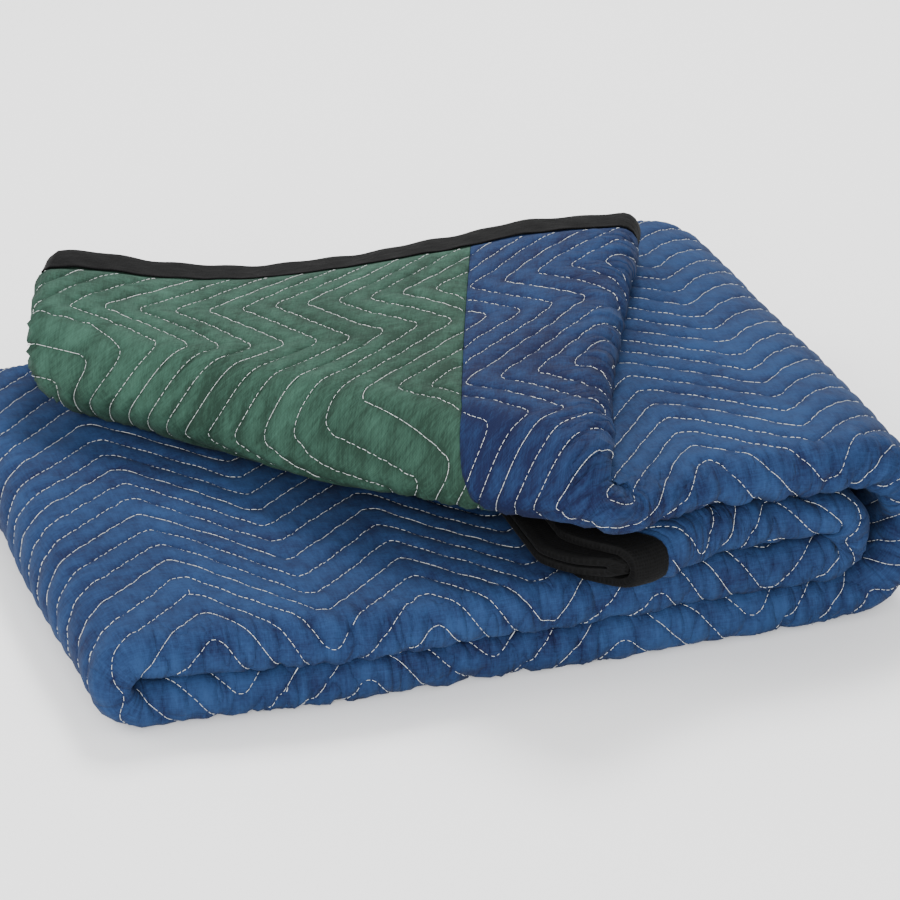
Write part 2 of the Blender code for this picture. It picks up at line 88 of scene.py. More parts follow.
# Where the creeping sets in: how far from the bound end, and past the ridge.
FLAP_BLEND_U = (560.0, 440.0)
FLAP_BLEND_V = (-30.0, 40.0)
ROW_CREEP_FROM_END = (0.0, 87.0, 169.0, 250.0)
ROW_CREEP = (-10.0, -7.0, 1.0, 7.0)
SEAM_CREEP_FROM_END = (0.0, 30.0, 150.0, 300.0, 345.0, 420.0, 560.0)
SEAM_CREEP = (13.0, 15.0, 23.0, 33.0, 46.0, 50.0, 0.0)
# Lines across one row of filling, as shares of its width, closest at the stitches.
LINE_SHARES = (0.0, 0.06, 0.16, 0.31, 0.5, 0.69, 0.84, 0.94)
# The furthest that a row lies from its own count of pitches.
ROW_REACH = STITCH_OFFSET + ZIGZAG_RISE + DRIFT_V[0] + STITCH_PITCH
# A row's V depends on itself, so it is worked out in this many rounds.
ROW_ROUNDS = 12

# ---- Uneven filling and wrinkles ----
LUMP_SHARE = 0.25
SWELL = 1.3
SWELL_STRETCH = 0.45
PUCKER = 0.42
PUCKER_REACH = 5.0
PUCKER_SPACING = 12.0
# Creases squeezed into the front edge: height, spacing, lean and shift.
DEEP_CREASES = ((2.0, 29.0, 0.15, 0.0), (0.9, 13.0, -0.3, 40.0))
CREASE_HALF_V = (30.0, 48.0)
SLIGHT_CREASE = 0.8
# Fine wrinkles: half the width of their band, and how dense they are.
GATHER_HALF_V = (26.0, 40.0)
GATHER_AT_RIDGE = 0.85
GATHER_AT_KNOT = 0.5

# ---- Binding ----
BINDING_WIDTH = 26.0
BINDING_TAPE = 1.0
BINDING_GAP = 0.6
HEM_RAMP = 4.0
HEM_MARGIN = 1.0
HEM_EDGE = BINDING_WIDTH + HEM_RAMP + 2.0
RELIEF_EDGE = HEM_EDGE + 6.0
THREAD_EDGE = HEM_EDGE - 4.0
# How far in from the edge the tape's cross section has a point.
TAPE_REACHES = (26.0, 24.0, 20.0, 17.0, 13.0, 9.0, 5.0, 1.0)
TAPE_CORNER_POINTS = 5
TAPE_PAST_CLOTH = 1.5
TAPE_LIFT = 0.45
TAPE_GROOVE = 0.5
TAPE_GROOVE_IN = 4.0
TAPE_GROOVE_HALF = 1.6
TAPE_TURN_REACH = 10.0
TAPE_STEP_ENDS = 4.0
TAPE_STEP_SIDES = 6.0

# ---- The strip: four layers of cloth, one layer pitch apart ----
LAYER_PITCH = 8.2
OUTER_RADIUS = 1.5 * LAYER_PITCH
INNER_RADIUS = 0.5 * LAYER_PITCH
STRIP_HALF = OUTER_RADIUS + SHEET_HALF
FLAT_RUN = (CLOTH_WIDTH - math.pi * (OUTER_RADIUS + 2 * INNER_RADIUS)) / 4
FRONT_Y = -172.0
BACK_Y = FRONT_Y + FLAT_RUN
# V of the ridge that the outer layers make along the front edge.
RIDGE_V = FLAT_RUN + math.pi * OUTER_RADIUS / 2
SOLID_PUFF = 2.2

# ---- The stack: heights of the strip's middle in each run ----
RUN_GAP = 1.8
QUILTED_GAP = 1.6
LOW_GAP = 1.2
FOLD_GAP = 0.8
FLOOR_RUN_Z = STRIP_HALF
SECOND_RUN_Z = FLOOR_RUN_Z + 2 * STRIP_HALF + RUN_GAP
INNER_RUN_Z = SECOND_RUN_Z + 2 * STRIP_HALF + 2 * SOLID_PUFF + QUILTED_GAP
TOP_RUN_Z = INNER_RUN_Z + 2 * STRIP_HALF + RUN_GAP
TOP_RUN_LOW_Z = SECOND_RUN_Z + 2 * STRIP_HALF + SOLID_PUFF + LOW_GAP

INNER_END_X = 24.0
INNER_TURN_X = 215.0
LEFT_TURN_X = -281.0
RIGHT_TURN_X = 222.0

INNER_TURN_R = (INNER_RUN_Z - SECOND_RUN_Z) / 2
INNER_TURN_Z = (INNER_RUN_Z + SECOND_RUN_Z) / 2
LEFT_TURN_R = (SECOND_RUN_Z - FLOOR_RUN_Z) / 2
RIGHT_TURN_R = (TOP_RUN_Z - FLOOR_RUN_Z) / 2

# ---- The inner end: slanted, pulled forward, its inner pair of layers out ----
INNER_END_SLANT = 36.0
INNER_END_ROUND = 30.0
INNER_END_FADE = 160.0
INNER_END_PULL = 21.0
INNER_END_PULL_U = 90.0
INNER_END_PULL_DEPTH = 80.0
INNER_END_SINK = 5.0
INNER_PAIR_OUT = 15.0
INNER_PAIR_HEIGHT = (0.75 * OUTER_RADIUS, 0.5 * OUTER_RADIUS)
INNER_PAIR_Y = (FRONT_Y - 9.0, FRONT_Y + 10.0)
# At the front the inner turn is pressed flat, which opens a dark gap over it.
INNER_TURN_PRESS = 0.24
INNER_TURN_PRESS_X = 110.0
INNER_TURN_BACK = 9.0
INNER_TURN_DEPTH = 90.0

# ---- The slanting fold at the end of the top run ----
SLANT_X = 58.0
SLANT_ANGLE = math.radians(123.0)
SLANT_R = STRIP_HALF + SOLID_PUFF + FOLD_GAP
DROP_LEFT_X = -216.0
DROP_RIGHT_X = 22.0
TOP_SKEW = 0.235
TOP_SKEW_X = 150.0
TOP_SKEW_FULL_X = 60.0

# ---- How the slanting fold droops and pinches, and the wavy bound end ----
FOLD_REACH = SLANT_R + STRIP_HALF
FOLD_SINK = 13.0
FOLD_SINK_START = -30.0
FOLD_SINK_FULL = (120.0, 240.0)
FOLD_SINK_END = 440.0
FOLD_LIFT = 7.0
FOLD_LIFT_REACH = 42.0
FOLD_PINCH = 0.35
TUCK = 9.0
TUCK_X = 60.0
TUCK_HALF_X = 75.0
TUCK_DEPTH = 110.0
END_WAVE_Y = (-172.0, -101.0, -39.0, 31.0, 106.0, 168.0, 223.0, 256.0)
END_WAVE = (4.0, 3.0, 2.0, -6.0, -10.5, -6.0, 9.0, 12.0)
END_WAVE_BLUR = (-24.0, -12.0, 0.0, 12.0, 24.0)
END_WAVE_FADE = 150.0
END_RIPPLE = 1.1
END_RIPPLE_LENGTHS = (8.5, 23.0)
END_RIPPLE_FADE = (40.0, 5.0)
# The least and greatest share of the wave that a layer takes.
WAVE_SHARES = (-0.2, 1.2)

# ---- How the soft stack sits ----
STACK_CENTRE = (-16.5, 34.6)
SETTLE_DEPTHS = (0.0, 1 / 3, 2 / 3, 1.0)
RIGHT_BULGE = (3.0, 12.0, 14.0, 18.0)
LEFT_SHIFT = (20.0, 5.0, 1.0, -27.0)
RIGHT_REACH = 260.0
LEFT_REACH = 300.0
SETTLE_BLUR = (-0.1, 0.0, 0.1)
BACK_SAG = 0.14
BACK_DENT = 22.0
SAG_X = 10.0
SAG_REACH = 220.0
LEFT_FRONT_PULL = 24.0
# The pull grows between these distances to the left of, and in front of, 0.
LEFT_FRONT_X = (60.0, 330.0)
LEFT_FRONT_Y = (-100.0, 180.0)
RIGHT_BACK_PULL = 26.0
RIGHT_BACK_SAG = 0.05
# The front of the floor run is pushed in a little near its middle.
FLOOR_DENT = 9.0
FLOOR_DENT_X = -70.0
FLOOR_DENT_HALF_X = 95.0
FLOOR_DENT_Z = (42.0, 8.0)
FLOOR_DENT_DEPTH = 140.0

# ---- Where the loose edge hangs over the back, and how much of it ----
EDGE_U = (191.0, 250.0, 746.0, 798.0, 1320.0, 1420.0, 1640.0, 1800.0)
EDGE_OVERHANG = (0.0, 40.0, 40.0, 0.0, 0.0, 40.0, 40.0, 0.0)
EDGE_BEND_V = -6.0
EDGE_BEND_R = 8.0

# ---- The knot of wrinkles where the slanting fold meets the front edge ----
KNOT_U = 1662.0
KNOT_REACH = 66.0
KNOT_DEPTH = 2.8
KNOT_RAYS = 5.5

# ---- The dark opening inside the left turn, where the front edge stands off ----
HOLLOW_DEPTH = 9.0
HOLLOW_HALF_U = 30.0
# How far past the ridge it starts, is whole, starts to close and ends.
HOLLOW_PAST_RIDGE = (2.0, 14.0, 30.0, 60.0)

# ---- How finely the cloth is drawn ----
FINE_STEP = 4.4
COARSE_STEP = 9.0
INNER_FACE_STEP = 20.0
BEND_LINES = 8
EDGE_BEND_LINES = 4
# No line or row of thread comes closer than this to a panel's edge.
LINE_CLEARANCE = 0.3

# ---- Thread ----
STITCH_LENGTH = 4.9
DASH_SHARE = 0.93
# Every third row is sewn tighter, so its stitches meet.
TIGHT_SHARE = 1.16
TIGHT_EVERY = 3
# One stitch: how far along it a ring lies, and how wide it is there.
STITCH_RINGS = ((0.0, 0.0), (0.2, 1.0), (0.8, 1.0), (1.0, 0.0))
RING_CORNERS = ((1, 0), (0, 1), (-1, 0), (0, -1))
RING_SIZE = len(RING_CORNERS)
THREAD_HALF_WIDTH = 0.185
THREAD_HALF_HEIGHT = 0.24
THREAD_LIFT = 0.42
THREAD_SINK = 0.16
# Where a stitch starts in its pitch, and how uneven its place and length are.
STITCH_START = 0.04
STITCH_SHIFT = 0.05
STITCH_UNEVEN = 0.08
FEWEST_POINTS = 8
LOOSE_ENDS = (
    # row, place along it, how far it stands off, how far it leans
    (14, 698.0, 4.0, 0.5),
    (16, 896.0, 6.0, -2.0),
    (16, 902.0, 6.5, 3.0),
    (17, 1062.0, 5.0, 4.0),
)
LOOSE_END_SHARES = (0.0, 0.35, 0.7, 1.0)
LOOSE_END_BEND = 1.3
LOOSE_END_ROOT = 0.3

# ---- What shows: U from the start of the top run, V from the ridge or a run ----
FLAP_START = 60.0
HIDDEN_PAST_RIDGE = 48.0
HIDDEN_BEFORE_RIDGE = 60.0
GREEN_PAST_RUN = 34.0

# ---- Tones: how pale a point is, added to the cloth's own unevenness; painted light and painted shade ----
# Painted light on the crests of the quilting and painted shade in its valleys.
CREST_PAINTED_SHADING = 0.34
CREST_PAINTED_SHADING_BASE = -0.08
INNER_FACE_TONE = 0.2
# Painted light on the top run.
TOP_PAINTED_LIGHT = 0.10
TOP_PAINTED_LIGHT_START = 60.0
TOP_PAINTED_LIGHT_V = (10.0, -60.0)
# Painted shade on the turned-back end.
FLAP_PAINTED_SHADE = (-0.20, -0.2)
FLAP_PAINTED_SHADE_FROM_END = (70.0, 330.0)
# Painted shade in the creases of the wrinkles; GATHER_TONE makes the gathered band paler
# overall.
WRINKLE_PAINTED_SHADE = 0.45
GATHER_TONE = 0.28
WRINKLE_HEIGHT = 3.0

# ---- Materials: colours are dark in the valleys and light on the crests, as painted shade and painted light ----
BLUE = ((0.0055, 0.0088, 0.034), (0.0152, 0.0400, 0.107))
GREEN = ((0.0115, 0.029, 0.020), (0.038, 0.093, 0.067))
BLACK = ((0.0004, 0.0004, 0.0004), (0.0032, 0.0032, 0.0034))
THREAD = ((0.36, 0.385, 0.40), (0.78, 0.80, 0.78))
CLOTH_THREADS = 0.0011
TAPE_THREADS = 0.0019
NOISES = {
    # scale, detail, stretch along U and V, turn
    "broad": (14.0, 3.0, 1.0, 1.0, 0.0),
    "streaks": (38.0, 3.5, 1.0, 2.2, 0.5),
    "cross": (75.0, 4.0, 2.0, 1.0, 0.2),
    "speckle": (480.0, 2.0, 1.0, 1.0, 0.0),
    "warp": (70.0, 2.0, 1.0, 16.0, 0.0),
    "weft": (70.0, 2.0, 16.0, 1.0, 0.0),
    "wrinkles": (62.0, 1.5, 1.0, 0.4, 0.12),
    "soil": (45.0, 3.0, 1.0, 1.0, 0.0),
}
CLOTH_TONES = {
    "broad": 1.1, "streaks": 0.9, "cross": 0.9, "speckle": 0.7,
    "weave": 0.15, "warp": 0.6, "weft": 0.6,
}
TAPE_TONES = {
    "broad": 0.3, "streaks": 0.2, "cross": 0.2, "speckle": 1.0,
    "weave": 0.9, "warp": 0.2, "weft": 0.2,
}
# The tone of cloth whose noises are all at their middle, before its marks.
TONE_MIDDLE = 0.35
CRINKLE = {"streaks": 0.6, "cross": 0.5}
ROUGHNESS = 0.7
ROUGH_STREAKS = 0.16
WRINKLE_SPREAD = 3.2
WRINKLE_SHARPNESS = 0.6
# A wave texture's scale, times the length of one wave.
WAVE_SCALE = 0.314

# ---- Light and camera ----
LIGHTS = (
    # name, place, size, power
    ("key", (0.8, 1.4, 2.6), 1.0, 100.0),
    ("fill", (-0.9, -2.8, 1.3), 2.0, 130.0),
    ("side", (-2.4, 0.8, 1.8), 1.8, 45.0),
)
WORLD_STRENGTH = 1.1
FLOOR_SIZE = 14.0
FLOOR_DROP = 0.0005
FLOOR_COLOUR = (0.95, 0.95, 0.95)
LOOK_AT = (0.0165, -0.0346, 0.08)
CAMERA_DISTANCE = 1.87
CAMERA_ELEVATION = math.radians(28.0)
CAMERA_YAW = math.radians(18.5)
FOCAL_LENGTH_MM = 104.0
SENSOR_WIDTH_MM = 36.0


def smooth(low, high, value):
    """Go softly from 0 at low to 1 at high."""
    t = np.clip((value - low) / (high - low), 0.0, 1.0)
    return t * t * (3.0 - 2.0 * t)


def hump(middle, half_width, value):
    """A soft hump: 1 at its middle, and almost 0 two half widths away."""
    return np.exp(-(((value - middle) / half_width) ** 2))


def near_front(depth, y):
    """Go softly from 1 at the front edge to 0 at a depth behind it."""
    return smooth(FRONT_Y + depth, FRONT_Y, y)


def blurred(place, marks, values, steps):
    """Read a value from a short table, with its corners rounded."""
    return sum(np.interp(place + step, marks, values) for step in steps) / len(steps)


# ======== The strip ========

# The runs and bends of the cloth across the strip, in order along V.
LAYERS = (
    # kind, length, y, height, direction or radius
    ("run", FLAT_RUN, BACK_Y, OUTER_RADIUS, -1),
    ("front", math.pi * OUTER_RADIUS, FRONT_Y, 0.0, OUTER_RADIUS),
    ("run", FLAT_RUN, FRONT_Y, -OUTER_RADIUS, 1),
    ("back", math.pi * INNER_RADIUS, BACK_Y, -2 * INNER_RADIUS, INNER_RADIUS),
    ("run", FLAT_RUN, BACK_Y, -INNER_RADIUS, -1),
    ("inner", math.pi * INNER_RADIUS, FRONT_Y, 0.0, INNER_RADIUS),
    ("run", FLAT_RUN, FRONT_Y, INNER_RADIUS, 1),
)
LAYER_STARTS = np.concatenate(([0.0], np.cumsum([row[1] for row in LAYERS])))
# Which way W, y and the height count in each kind of bend.
BEND_SIGNS = {"front": (1, -1, 1), "back": (1, 1, -1), "inner": (-1, -1, -1)}


def across(v, w):
    """Place cloth points across the strip: y, and height above its middle."""
    y = np.zeros_like(v)
    height = np.zeros_like(v)
    place = np.clip(np.searchsorted(LAYER_STARTS, v, side="right") - 1, 0, len(LAYERS) - 1)
    for index, (kind, _, start_y, start_h, extra) in enumerate(LAYERS):
        here = place == index
        along_v = v[here] - LAYER_STARTS[index]
        if kind == "run":
            y[here] = start_y + extra * along_v
            height[here] = start_h - extra * w[here]
            continue
        outward, sideways, upward = BEND_SIGNS[kind]
        radius = extra + outward * w[here]
        y[here] = start_y + sideways * radius * np.sin(along_v / extra)
        height[here] = start_h + upward * radius * np.cos(along_v / extra)
    hangs = v < EDGE_BEND_V
    past = EDGE_BEND_V - v[hangs]
    angle = np.minimum(past / EDGE_BEND_R, math.pi / 2)
    down = np.maximum(0.0, past - EDGE_BEND_R * math.pi / 2)
    radius = EDGE_BEND_R + w[hangs]
    y[hangs] = BACK_Y - EDGE_BEND_V + radius * np.sin(angle)
    height[hangs] = OUTER_RADIUS - EDGE_BEND_R + radius * np.cos(angle) - down
    return y, height


# ======== The stack ========

RUN_LENGTHS = {
    "inner_run": INNER_TURN_X - INNER_END_X,
    "inner_turn": math.pi * INNER_TURN_R,
    "second_run": INNER_TURN_X - LEFT_TURN_X,
    "left_turn": math.pi * LEFT_TURN_R,
    "floor_run": RIGHT_TURN_X - LEFT_TURN_X,
    "right_turn": math.pi * RIGHT_TURN_R,
}
RUN_NAMES = [*RUN_LENGTHS, "top_run"]
RUN_EDGES = np.concatenate(([0.0], np.cumsum([*RUN_LENGTHS.values()])))
RUN_START = dict(zip(RUN_NAMES, RUN_EDGES))
FLAP_U = RUN_START["top_run"] + FLAP_START
# The parts that lie flat or turn evenly.
PLAIN_PARTS = {
    # x, way along x, radius of a turn, height of its middle, way that W points
    "second_run": (INNER_TURN_X, -1, None, SECOND_RUN_Z, 1),
    "left_turn": (LEFT_TURN_X, -1, LEFT_TURN_R, (FLOOR_RUN_Z + SECOND_RUN_Z) / 2, 1),
    "floor_run": (LEFT_TURN_X, 1, None, FLOOR_RUN_Z, -1),
    "right_turn": (RIGHT_TURN_X, 1, RIGHT_TURN_R, (FLOOR_RUN_Z + TOP_RUN_Z) / 2, -1),
}

SLANT_LINE = np.array([math.cos(SLANT_ANGLE), math.sin(SLANT_ANGLE)])
SLANT_NORMAL = np.array([-SLANT_LINE[1], SLANT_LINE[0]])


def droop(rise, reach, slide):
    """Let the slanting fold sink, lift and pinch, most of all at its tip."""
    tip = np.clip(reach / FOLD_REACH, 0.0, 1.0) ** 2
    sink = FOLD_SINK * smooth(FOLD_SINK_START, FOLD_SINK_FULL[0], slide)
    sink *= smooth(FOLD_SINK_END, FOLD_SINK_FULL[1], slide)
    sink -= FOLD_LIFT * smooth(FOLD_LIFT_REACH, -FOLD_LIFT_REACH, slide)
    return SLANT_R + (rise - SLANT_R) * (1.0 - FOLD_PINCH * tip) - sink * tip


def end_wave(u, y):
    """How far the bound end waves up from where it would lie."""
    from_end = CLOTH_LENGTH - u
    wave = blurred(y, END_WAVE_Y, END_WAVE, END_WAVE_BLUR)
    short, long = END_RIPPLE_LENGTHS
    ripple = END_RIPPLE * np.sin(y / short + 1.0) * np.sin(y / long)
    wave += ripple * smooth(*END_RIPPLE_FADE, from_end)
    return wave * smooth(END_WAVE_FADE, 0.0, from_end)


def turn_back(u, y, height):
    """Place points of the top run, and of the end turned back over it."""
    x = RIGHT_TURN_X - (u - RUN_START["top_run"])
    # How far the point lies past the slanting fold, and along it.
    distance = (x - SLANT_X) * SLANT_NORMAL[0] + (y - FRONT_Y) * SLANT_NORMAL[1]
    slide = (x - SLANT_X) * SLANT_LINE[0] + (y - FRONT_Y) * SLANT_LINE[1]
    half_turn = math.pi * SLANT_R
    angle = np.clip(distance / SLANT_R, 0.0, math.pi)
    radius = SLANT_R - height
    reach = np.where(distance < 0, distance, radius * np.sin(angle))
    reach = np.where(distance > half_turn, half_turn - distance, reach)
    rise = np.where(distance < 0, height, SLANT_R - radius * np.cos(angle))
    rise = np.where(distance > half_turn, 2 * SLANT_R - height, rise)
    share = np.clip((OUTER_RADIUS - height) / (2 * OUTER_RADIUS), *WAVE_SHARES)
    rise = droop(rise, reach, slide) + end_wave(u, y) * share
    px = SLANT_X + reach * SLANT_NORMAL[0] + slide * SLANT_LINE[0]
    py = FRONT_Y + reach * SLANT_NORMAL[1] + slide * SLANT_LINE[1]
    step = smooth(DROP_LEFT_X, DROP_RIGHT_X, px)
    pz = TOP_RUN_LOW_Z + (TOP_RUN_Z - TOP_RUN_LOW_Z) * step + rise
    skew = TOP_SKEW * np.maximum(0.0, TOP_SKEW_X - px)
    skew *= smooth(TOP_SKEW_X, TOP_SKEW_FULL_X, px)
    tuck = TUCK * hump(TUCK_X, TUCK_HALF_X, px) * near_front(TUCK_DEPTH, py)
    tuck = tuck * np.clip(share, 0.0, 1.0) * (1.0 - angle / math.pi)
    return px, py - skew, pz + tuck


def pressed(x, y, z):
    """Press the inner run down where it nears its turn at the front edge."""
    press = INNER_TURN_PRESS * near_front(INNER_TURN_DEPTH, y)
    press *= smooth(INNER_TURN_PRESS_X, INNER_TURN_X, x)
    return z - press * np.maximum(0.0, z - INNER_TURN_Z)


def inner_run(part, y, height):
    """Place points of the short inner run, whose bound end is free."""
    fade = smooth(INNER_END_FADE, 0.0, part)
    recede = smooth(FRONT_Y + INNER_END_ROUND, FRONT_Y - STRIP_HALF, y)
    pair = smooth(*INNER_PAIR_HEIGHT, np.abs(height)) * smooth(*INNER_PAIR_Y, y)
    x = INNER_END_X + part + (INNER_END_SLANT * recede - INNER_PAIR_OUT * pair) * fade
    pull = smooth(INNER_END_PULL_U, 0.0, part)
    z = pressed(x, y, INNER_RUN_Z - height - INNER_END_SINK * pull)
    return x, y - INNER_END_PULL * pull * near_front(INNER_END_PULL_DEPTH, y), z


def inner_turn(part, y, height):
    """Place points of the turn after the inner run, pressed at the front."""
    angle = part / INNER_TURN_R
    x = INNER_TURN_X + (INNER_TURN_R - height) * np.sin(angle)
    z = pressed(x, y, INNER_TURN_Z + (INNER_TURN_R - height) * np.cos(angle))
    return x - INNER_TURN_BACK * near_front(INNER_TURN_DEPTH, y) * np.sin(angle), y, z


def along(u, y, height):
    """Carry the strip through its runs and turns."""
    x, py, z = np.zeros_like(u), y.copy(), np.zeros_like(u)
    place = np.clip(np.searchsorted(RUN_EDGES, u, side="right") - 1, 0, len(RUN_NAMES) - 1)
    for index, name in enumerate(RUN_NAMES):
        here = place == index
        if not here.any():
            continue
        part = u[here] - RUN_START[name]
        lift = height[here]
        if name == "inner_run":
            x[here], py[here], z[here] = inner_run(part, y[here], lift)
        elif name == "inner_turn":
            x[here], py[here], z[here] = inner_turn(part, y[here], lift)
        elif name == "top_run":
            x[here], py[here], z[here] = turn_back(u[here], y[here], lift)
        else:
            start_x, ahead, radius, middle_z, up = PLAIN_PARTS[name]
            if radius is None:
                x[here] = start_x + ahead * part
                z[here] = middle_z + up * lift
            else:
                x[here] = start_x + ahead * (radius + lift) * np.sin(part / radius)
                z[here] = middle_z + up * (radius + lift) * np.cos(part / radius)
    return x, py, z


def settle(x, y, z):
    """Let the stack sit unevenly, as soft cloth does, on a flat floor."""
    depth = np.clip((y - FRONT_Y) / FLAT_RUN, 0.0, 1.0)
    left = smooth(0.0, LEFT_REACH, -x)
    right = smooth(0.0, RIGHT_REACH, x)
    sag = smooth(SAG_REACH, 0.0, np.abs(x - SAG_X)) * depth
    shift = right * blurred(depth, SETTLE_DEPTHS, RIGHT_BULGE, SETTLE_BLUR)
    shift += left * blurred(depth, SETTLE_DEPTHS, LEFT_SHIFT, SETTLE_BLUR)
    pull = LEFT_FRONT_PULL * smooth(*LEFT_FRONT_X, -x) * smooth(*LEFT_FRONT_Y, -y)
    pull = pull - RIGHT_BACK_PULL * right * depth - BACK_DENT * sag
    dent = hump(FLOOR_DENT_X, FLOOR_DENT_HALF_X, x) * smooth(*FLOOR_DENT_Z, z)
    pull += FLOOR_DENT * dent * near_front(FLOOR_DENT_DEPTH, y)
    z = np.maximum(z, 0.0) * (1.0 - RIGHT_BACK_SAG * right * depth - BACK_SAG * sag)
    return x + shift - STACK_CENTRE[0], y + pull - STACK_CENTRE[1], z


def fold(u, v, w):
    """Carry flat cloth points to the folded stack."""
    u, v, w = (np.asarray(item, float) for item in np.broadcast_arrays(u, v, w))
    y, height = across(v, w)
    return np.stack(settle(*along(u, y, height)), axis=-1)


# ======== The quilting ========

def wander(u, v):
    """Small waves in the rows, as fed by hand."""
    return sum(high * np.sin(u / along_u + v / along_v) for high, along_u, along_v in WANDER)


def on_flap(u, v):
    """0 on the runs, 1 on the face of the turned-back end that shows."""
    low, high = FLAP_BLEND_V
    return smooth(*FLAP_BLEND_U, CLOTH_LENGTH - u) * smooth(RIDGE_V + low, RIDGE_V + high, v)


def crept(u, v):
    """The U that a point of the turned-back end had before the cloth crept."""
    from_end = CLOTH_LENGTH - u
    total = np.maximum(0.0, from_end - FLAP_CORNERS[-1][0])
    for (flat_a, lies_a), (flat_b, lies_b) in zip(FLAP_CORNERS, FLAP_CORNERS[1:]):
        low = np.interp(v, FLAP_V, lies_a)
        high = np.interp(v, FLAP_V, lies_b)
        total += (flat_b - flat_a) * np.clip((from_end - low) / (high - low), 0.0, 1.0)
    return CLOTH_LENGTH - total


def zigzag(u, v):
    """How far the stitching has wandered in V, with rounded corners."""
    flap = on_flap(u, v)
    place = u + flap * (crept(u, v) - u)
    steps = (-CORNER_ROUND, -CORNER_ROUND / 2, 0.0, CORNER_ROUND / 2, CORNER_ROUND)
    total = 0.0
    for step in steps:
        count = np.interp(place + step, ZIGZAG_U, ZIGZAG_COUNT)
        total = total + 1.0 - np.abs(1.0 - 2.0 * np.mod(count, 1.0))
    drift = np.interp(u, DRIFT_U, DRIFT_V)
    creep = flap * np.interp(CLOTH_LENGTH - u, ROW_CREEP_FROM_END, ROW_CREEP)
    return STITCH_OFFSET + ZIGZAG_RISE * total / len(steps) + drift + creep


def row_v(u, row):
    """V of a row of stitching, or of a share of a row, at each U."""
    u, row = np.broadcast_arrays(u, row)
    v = row * STITCH_PITCH + zigzag(u, row * STITCH_PITCH + ZIGZAG_RISE / 2)
    for _ in range(ROW_ROUNDS):
        v = row * STITCH_PITCH + zigzag(u, v) + wander(u, v)
    return v


def panel_edge(number, u):
    """V of the long edges of the cloth, 0 and 3, and of the seams, 1 and 2."""
    u = np.asarray(u, float)
    if number == 0:
        return -np.interp(u, EDGE_U, EDGE_OVERHANG)
    if number == 1:
        return PANEL_WIDTH - np.interp(CLOTH_LENGTH - u, SEAM_CREEP_FROM_END, SEAM_CREEP)
    return np.full_like(u, number * PANEL_WIDTH)


# The bare divisors below are wave lengths in millimetres with no common
# multiple, so that the cloth never repeats itself.

def lumps(u, v):
    """Uneven filling: slow waves in its height, from -1 to 1."""
    value = np.sin(u / 17.0 + 2.1 * np.sin(v / 41.0)) * np.sin(v / 13.0 + 1.7 * np.sin(u / 53.0))
    value += np.sin(u / 43.0 + v / 61.0 + 1.3) * np.sin(v / 37.0 - u / 71.0)
    return value / 2.0


def pucker(u, v, phase):
    """Small gathers that run out from each row of stitching."""
    near = np.exp(-np.minimum(phase, 1.0 - phase) * STITCH_PITCH / PUCKER_REACH)
    turn = 2 * math.pi * (u + 0.35 * v) / PUCKER_SPACING
    return PUCKER * near * np.sin(turn + 3.0 * np.sin(v / 23.0 + u / 37.0))


def folds(u, v, spacing, lean):
    """Wandering creases with sharp bottoms, from -1 in them to 1 between."""
    place = u + lean * v
    place += 0.5 * spacing * np.sin(v / (0.9 * spacing) + u / (2.3 * spacing))
    place += 0.8 * spacing * np.sin(u / (1.7 * spacing) - v / (3.1 * spacing))
    return 2.0 * np.abs(np.sin(math.pi * place / spacing)) ** 0.7 - 1.0


def near_ridge(u, v, half_widths):
    """1 on the ridge of the front edge, in a wider band on the turned-back end."""
    on_run, on_end = half_widths
    return hump(RIDGE_V, on_run + (on_end - on_run) * on_flap(u, v), v)


def knot(u, v):
    """Wrinkles that run out of the knot, as a height."""
    du, dv = u - KNOT_U, v - RIDGE_V
    reach = np.hypot(du, dv) / KNOT_REACH
    turn = np.arctan2(dv, du)
    bend = 1.4 * np.sin(3.0 * turn + 2.0 * reach)
    rays = 2.0 * np.abs(np.sin(KNOT_RAYS * turn + bend)) ** 0.8 - 1.0
    return 0.7 * KNOT_DEPTH * rays * reach * np.exp(1.0 - reach ** 2)


def hollow(u, v):
    """How far the front edge stands back inside the left turn."""
    start, whole, closing, end = HOLLOW_PAST_RIDGE
    turn_middle = (RUN_START["left_turn"] + RUN_START["floor_run"]) / 2
    past = v - RIDGE_V
    depth = HOLLOW_DEPTH * hump(turn_middle, HOLLOW_HALF_U, u)
    return depth * smooth(start, whole, past) * smooth(end, closing, past)


def creases(u, v):
    """Creases squeezed into the front edge, and slighter ones everywhere."""
    patch = 0.5 + 0.5 * np.sin(u / 47.0 + 1.6 * np.sin(u / 113.0 + v / 57.0))
    deep = sum(high * folds(u + shift, v, spacing, lean)
               for high, spacing, lean, shift in DEEP_CREASES)
    fade = np.sin(u / 61.0 + v / 43.0) * np.sin(v / 71.0 - u / 97.0)
    slight = folds(v, u, 58.0, 0.8) * np.maximum(0.0, fade)
    slight += folds(u, v, 49.0, 1.3) * np.maximum(0.0, -fade)
    at_ridge = near_ridge(u, v, CREASE_HALF_V) * (0.35 + 0.65 * patch)
    return at_ridge * deep + SLIGHT_CREASE * slight + knot(u, v) - hollow(u, v)


def edge_distance(u, v):
    """How far a point lies in from the nearest bound edge."""
    sides = np.minimum(v - panel_edge(0, u), CLOTH_WIDTH - v)
    return np.minimum(np.minimum(u, CLOTH_LENGTH - u), sides)


def gathers(u, v):
    """Where the cloth is squeezed into fine wrinkles, from 0 to 1."""
    at_knot = hump(0.0, 0.8 * KNOT_REACH, np.hypot(u - KNOT_U, v - RIDGE_V))
    at_ridge = near_ridge(u, v, GATHER_HALF_V)
    return np.clip(GATHER_AT_RIDGE * at_ridge + GATHER_AT_KNOT * at_knot, 0.0, 1.0)


def half_thickness(u, v):
    """The cloth is pressed thin under its binding."""
    past = edge_distance(u, v) - BINDING_WIDTH - HEM_MARGIN
    return HEM_HALF + (SHEET_HALF - HEM_HALF) * np.clip(past / HEM_RAMP, 0.0, 1.0)


